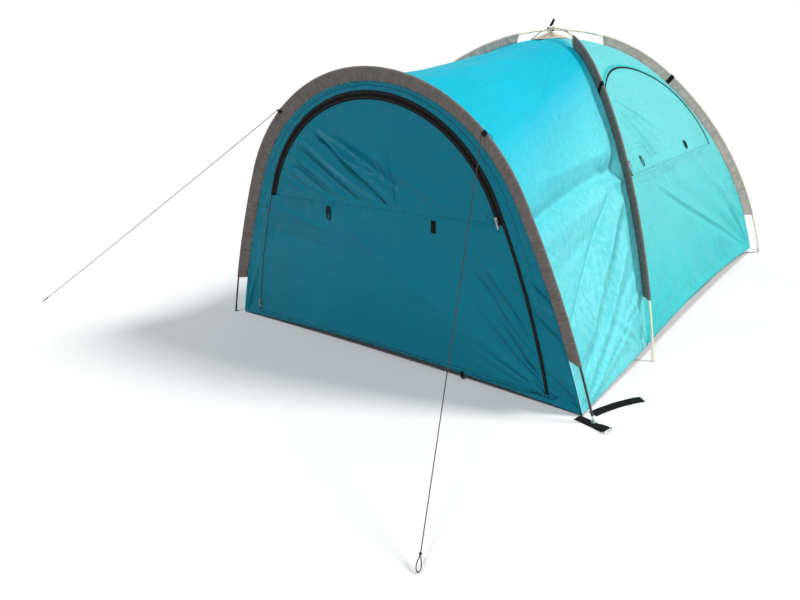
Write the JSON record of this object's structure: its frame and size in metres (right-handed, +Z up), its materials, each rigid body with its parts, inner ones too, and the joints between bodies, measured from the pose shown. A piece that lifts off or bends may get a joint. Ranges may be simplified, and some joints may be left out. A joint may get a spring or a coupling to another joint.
{
  "type": "dome tent",
  "caption": "Low dome tent with crossed sleeved poles, an arched hoop porch with a zipped door and window, zipped side windows and guylines.",
  "frame": {"origin": "on the underside of the groundsheet, straight below the crossing of the two dome poles", "axes": "+Z up, +Y towards the rear wall and away from the porch, +X to the right seen from in front of the porch"},
  "size_m": [3.1925, 3.4394, 1.4004],
  "materials": {
    "fly_fabric": "coated polyester, slightly shiny",
    "front_fabric": "coated polyester, slightly shiny",
    "sleeve_grey": "woven, gathered",
    "sleeve_beige": "woven, gathered",
    "crown_fabric": "coated polyester",
    "pole_black": "smooth fibreglass",
    "pole_ivory": "smooth fibreglass",
    "ferrule": "rolled tube",
    "cap": "moulded",
    "elastic": "braided",
    "zip": "woven tape and moulded coil",
    "slider": "cast",
    "mesh": "open net",
    "groundsheet": "coated woven",
    "webbing": "woven webbing",
    "tie_cord": "braided",
    "steel": "plated",
    "guy_cord": "braided"
  },
  "bodies": {
    "tent": {"corner_pin": "steel", "corner_ring": "steel", "corner_tail": "webbing", "corner_webbing": "webbing", "crown_patch": "crown_fabric", "crown_tie": "webbing", "crown_toggle": "tie_cord", "dome_pole_a_ferrules": "ferrule", "dome_pole_a_sections": "pole_ivory", "dome_pole_b_ferrules": "ferrule", "dome_pole_b_sections": "pole_ivory", "door_zip": "zip", "front_peg_loop": "webbing", "front_surround": "front_fabric", "groundsheet": "groundsheet", "guy_tabs": "webbing", "guyline_end_loops": "guy_cord", "guyline_knots": "guy_cord", "guyline_left": "guy_cord", "guyline_right": "guy_cord", "hoop_pole_ferrules": "ferrule", "hoop_pole_sections": "pole_black", "hoop_sleeve": "sleeve_grey", "left_wall": "fly_fabric", "left_window_mesh": "mesh", "left_window_zip": "zip", "pole_end_caps": "cap", "porch_roof": "fly_fabric", "rear_corner_tabs": "webbing", "rear_wall": "fly_fabric", "right_wall": "fly_fabric", "right_window_mesh": "mesh", "right_window_zip": "zip", "shock_cords": "elastic", "sleeve_front_left": "sleeve_grey", "sleeve_front_right": "sleeve_grey", "sleeve_rear_left": "sleeve_beige", "sleeve_rear_right": "sleeve_beige", "sleeve_straps": "webbing"},
    "door": {"door_panel": "front_fabric", "front_window_zip": "zip", "front_window_mesh": "mesh", "front_tie_loop": "tie_cord", "front_tie_tab": "webbing"},
    "front_window": {"front_window_flap": "front_fabric"},
    "right_window": {"right_window_flap": "fly_fabric", "right_tie_loop": "tie_cord", "right_tie_tab": "webbing"},
    "left_window": {"left_window_flap": "fly_fabric", "left_tie_loop": "tie_cord", "left_tie_tab": "webbing"},
    "door_slider": {"door_slider": "slider"},
    "door_pull": {"door_pull": "slider"},
    "front_window_slider": {"front_window_slider": "slider"},
    "front_window_pull": {"front_window_pull": "slider"},
    "right_window_slider": {"right_window_slider": "slider"},
    "right_window_pull": {"right_window_pull": "slider"},
    "left_window_slider": {"left_window_slider": "slider"},
    "left_window_pull": {"left_window_pull": "slider"}
  },
  "joints": [
    {"name": "door_fold", "type": "hinge", "parent": "tent", "child": "door", "pos_m": [0, -1.531, 0.0458], "axis": [1, 0, 0], "range_deg": [0, 88]},
    {"name": "front_window_fold", "type": "hinge", "parent": "door", "child": "front_window", "pos_m": [0, -1.531, 0.6558], "axis": [1, 0, 0], "range_deg": [0, 150]},
    {"name": "right_window_fold", "type": "hinge", "parent": "tent", "child": "right_window", "pos_m": [0.72516, 0, 0.6948], "axis": [0, 1, 0], "range_deg": [0, 120]},
    {"name": "left_window_fold", "type": "hinge", "parent": "tent", "child": "left_window", "pos_m": [-0.72516, 0, 0.6948], "axis": [0, -1, 0], "range_deg": [0, 120]},
    {"name": "door_slider_run", "type": "hinge", "parent": "tent", "child": "door_slider", "pos_m": [2.47524, -1.531, -0.63905], "axis": [0, 1, 0], "range_deg": [0, 11]},
    {"name": "door_pull_swing", "type": "hinge", "parent": "door_slider", "child": "door_pull", "pos_m": [-0.80035, -1.539, 0.098], "axis": [-0.9756, 0, 0.2195], "range_deg": [0, 165]},
    {"name": "front_window_slider_run", "type": "hinge", "parent": "door", "child": "front_window_slider", "pos_m": [0, -1.531, 0.463], "axis": [0, -1, 0], "range_deg": [0, 139]},
    {"name": "front_window_pull_swing", "type": "hinge", "parent": "front_window_slider", "child": "front_window_pull", "pos_m": [0.59141, -1.539, 0.67424], "axis": [-0.9417, 0, -0.3364], "range_deg": [0, 165]},
    {"name": "right_window_slider_run", "type": "slide", "parent": "tent", "child": "right_window_slider", "axis": [-0.4915, 0.1591, 0.8562], "range_m": [0, 0.04]},
    {"name": "right_window_pull_swing", "type": "hinge", "parent": "right_window_slider", "child": "right_window_pull", "pos_m": [0.70306, -0.5912, 0.75748], "axis": [-0.0792, -0.9873, 0.138], "range_deg": [0, 165]},
    {"name": "left_window_slider_run", "type": "slide", "parent": "tent", "child": "left_window_slider", "axis": [0.4915, 0.1591, 0.8562], "range_m": [0, 0.04]},
    {"name": "left_window_pull_swing", "type": "hinge", "parent": "left_window_slider", "child": "left_window_pull", "pos_m": [-0.70306, -0.5912, 0.75748], "axis": [-0.0792, 0.9873, -0.138], "range_deg": [0, 165]}
  ]
}
